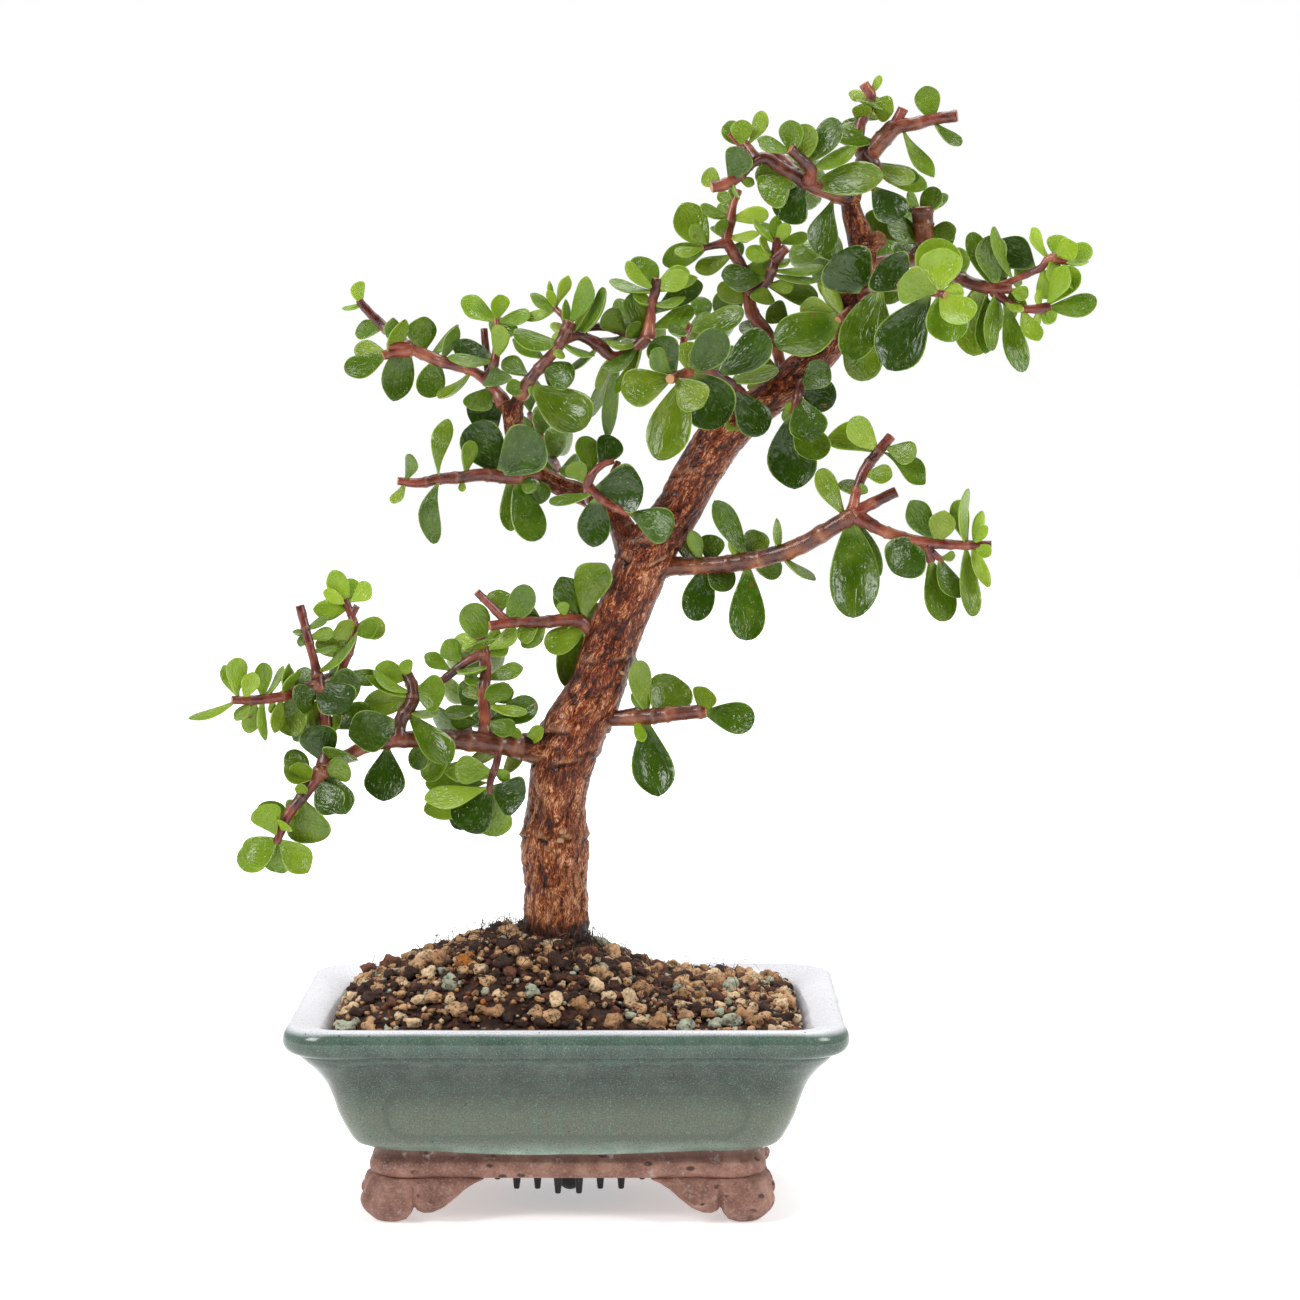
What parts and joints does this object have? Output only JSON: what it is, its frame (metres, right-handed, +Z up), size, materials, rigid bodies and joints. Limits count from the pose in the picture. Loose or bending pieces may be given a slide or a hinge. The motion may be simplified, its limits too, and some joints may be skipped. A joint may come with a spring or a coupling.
{
  "type": "dwarf jade bonsai",
  "caption": "Dwarf jade grown as a leaning bonsai, with fleshy round leaves on woody branches, in a rectangular glazed pot with a clay foot band and cloud feet.",
  "frame": {"origin": "centre of the whole object's footprint, at the height of the pot's feet", "axes": "+Z up the tree, +X towards the side the crown leans to, front towards -Y"},
  "size_m": [0.249, 0.1166, 0.3126],
  "materials": {
    "glazed_pot": "glossy grey-green glaze over brown stoneware",
    "black_plastic": "moulded black plastic",
    "bonsai_soil": "rough granular substrate",
    "bark": "red-brown fissured bark",
    "leaves": "glossy fleshy leaf"
  },
  "bodies": {
    "root": {"branch_back_centre": "leaves", "branch_back_crown": "leaves", "branch_back_left": "leaves", "branch_back_low": "leaves", "branch_centre": "leaves", "branch_crown_left": "leaves", "branch_crown_right": "leaves", "branch_crown_top": "leaves", "branch_high_left": "leaves", "branch_high_left_inner": "leaves", "branch_high_left_low": "leaves", "branch_left_mid": "leaves", "branch_limb_front": "leaves", "branch_limb_side": "leaves", "branch_limb_under": "leaves", "branch_low_left": "leaves", "branch_middle": "leaves", "branch_right_low": "leaves", "branch_right_mid": "leaves", "branch_upright": "leaves", "drainage_grate": "black_plastic", "pot": "glazed_pot", "soil": "bonsai_soil", "trunk": "bark"}
  },
  "joints": []
}
